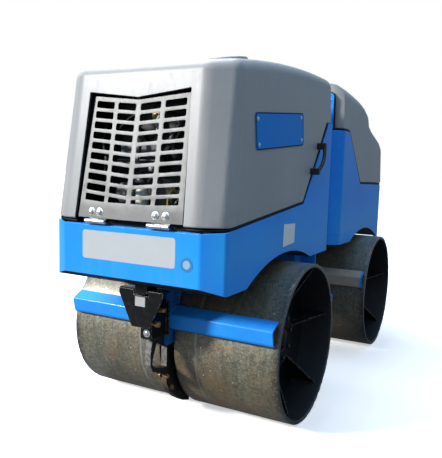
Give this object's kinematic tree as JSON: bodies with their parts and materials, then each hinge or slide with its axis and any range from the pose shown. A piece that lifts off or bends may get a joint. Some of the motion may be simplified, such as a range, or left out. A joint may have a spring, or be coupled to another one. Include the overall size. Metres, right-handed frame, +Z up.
{
  "type": "articulated remote-controlled trench roller",
  "caption": "Articulated trench roller: two hooded bodies on split steel drums, joined by a steering and oscillating pivot, for compacting soil.",
  "frame": {"origin": "on the ground under the middle of the overall length and width", "axes": "+Z up, the grille end faces -Y, +X is the right hand seen from that end"},
  "size_m": [0.85, 2.068, 1.348],
  "materials": {
    "blue_paint": "gloss",
    "grey_hood": "satin",
    "black_plastic": "matte",
    "stainless": "satin",
    "zinc": "satin",
    "blue_plate": "gloss",
    "engine_metal": "matte",
    "black_paint": "satin",
    "rubber": "matte",
    "dark_steel": "satin",
    "drum_steel": "worn",
    "chrome_rod": "polished"
  },
  "bodies": {
    "front_frame": {"front_chassis": "blue_paint", "front_drum_carrier": "blue_paint", "front_drum_guards": "blue_paint", "front_rubber_mounts": "rubber", "front_scraper": "black_paint", "front_bracket": "black_paint", "engine_block": "engine_metal", "engine_cooling_fan": "black_plastic", "front_hood_hinge_pins": "zinc", "oscillation_housing": "black_paint"},
    "front_drums": {"front_drum_shell_left": "drum_steel", "front_drum_shell_right": "drum_steel", "front_drum_discs": "black_paint", "front_axle": "dark_steel"},
    "front_hood_body": {"front_hood": "grey_hood", "front_grille": "stainless", "grille_frame": "black_plastic", "front_hood_hinge_leaves": "zinc", "hood_cap": "black_plastic", "side_nameplates": "blue_plate", "hood_grips": "black_plastic"},
    "steering_link_body": {"steering_link": "black_paint", "articulation_pin": "dark_steel", "cylinder_base_pin": "dark_steel"},
    "steering_barrel_body": {"steering_barrel": "black_paint"},
    "steering_rod_body": {"steering_rod": "chrome_rod"},
    "rear_frame": {"rear_chassis": "blue_paint", "rear_upright": "blue_paint", "lifting_eye": "blue_paint", "hydraulic_tank": "black_paint", "rear_drum_carrier": "blue_paint", "rear_drum_guards": "blue_paint", "rear_rubber_mounts": "rubber", "rear_scraper": "black_paint", "rear_bracket": "black_paint", "rear_hood_hinge_pins": "zinc", "articulation_knuckle": "black_paint", "steering_arm": "black_paint"},
    "rear_drums": {"rear_drum_shell_left": "drum_steel", "rear_drum_shell_right": "drum_steel", "rear_drum_discs": "black_paint", "rear_axle": "dark_steel"},
    "rear_hood_body": {"rear_hood": "grey_hood", "rear_hood_hinge_leaves": "zinc"}
  },
  "joints": [
    {"name": "front_drums_roll", "type": "hinge", "parent": "front_frame", "child": "front_drums", "pos_m": [0, -0.494, 0.29], "axis": [1, 0, 0], "continuous": true},
    {"name": "rear_drums_roll", "type": "hinge", "parent": "rear_frame", "child": "rear_drums", "pos_m": [0, 0.606, 0.29], "axis": [1, 0, 0], "continuous": true},
    {"name": "oscillation", "type": "hinge", "parent": "front_frame", "child": "steering_link_body", "pos_m": [0, 0.056, 0.7], "axis": [0, 1, 0], "range_deg": [-8, 8]},
    {"name": "articulated_steering", "type": "hinge", "parent": "steering_link_body", "child": "rear_frame", "pos_m": [0, 0.056, 0.7], "axis": [0, 0, 1], "range_deg": [-30, 30]},
    {"name": "steering_cylinder_swing", "type": "hinge", "parent": "steering_link_body", "child": "steering_barrel_body", "pos_m": [-0.001, -0.13626, 0.5], "axis": [0, 0, 1], "range_deg": [-8.5, 8.5]},
    {"name": "steering_cylinder_stroke", "type": "slide", "parent": "steering_barrel_body", "child": "steering_rod_body", "axis": [0.5, 0.866, 0], "range_m": [-0.0505, 0.0505]},
    {"name": "front_hood_hinge", "type": "hinge", "parent": "front_frame", "child": "front_hood_body", "pos_m": [0, -1.027, 0.735], "axis": [1, 0, 0], "range_deg": [0, 65]},
    {"name": "rear_hood_hinge", "type": "hinge", "parent": "rear_frame", "child": "rear_hood_body", "pos_m": [0, 1.027, 0.848], "axis": [-1, 0, 0], "range_deg": [0, 65]}
  ],
  "couplings": [
    {"joint": "steering_cylinder_swing", "follows": "articulated_steering", "ratio": 0.24775},
    {"joint": "steering_cylinder_stroke", "follows": "articulated_steering", "m_per_rad": 0.09526}
  ]
}
